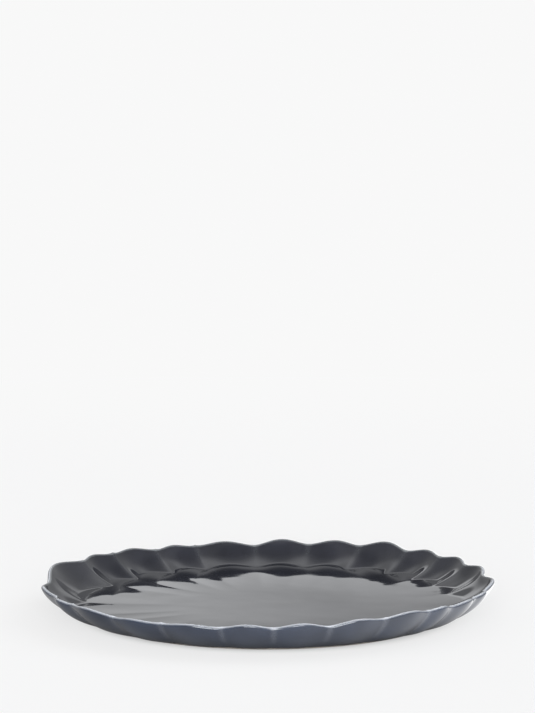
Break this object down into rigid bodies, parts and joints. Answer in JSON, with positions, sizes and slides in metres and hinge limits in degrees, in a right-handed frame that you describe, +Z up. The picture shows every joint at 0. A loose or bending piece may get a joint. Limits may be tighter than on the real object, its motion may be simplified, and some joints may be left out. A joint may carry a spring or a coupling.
{
  "type": "serving platter",
  "caption": "Round low serving platter in dark glazed stoneware, with a scalloped petal rim, a fluted wall, a flat well and a dry foot ring.",
  "frame": {"origin": "on the table, under the middle of the foot ring", "axes": "+Z up out of the well; +X and +Y are table directions, the petals being counted counter-clockwise from +X"},
  "size_m": [0.3591, 0.359, 0.0313],
  "materials": {
    "fired_clay": "dark fired stoneware clay, hidden under the glaze",
    "dry_foot_clay": "unglazed stoneware, wiped dry and slightly rough",
    "face_glaze": "glossy slate glaze, thinner and paler on the lip and the ridges",
    "back_glaze": "glossy slate glaze",
    "base_glaze": "glossy slate glaze"
  },
  "bodies": {
    "root": {"stoneware_body": "fired_clay", "foot_ring": "dry_foot_clay", "face_glaze": "face_glaze", "back_glaze": "back_glaze", "base_glaze": "base_glaze"}
  },
  "joints": []
}
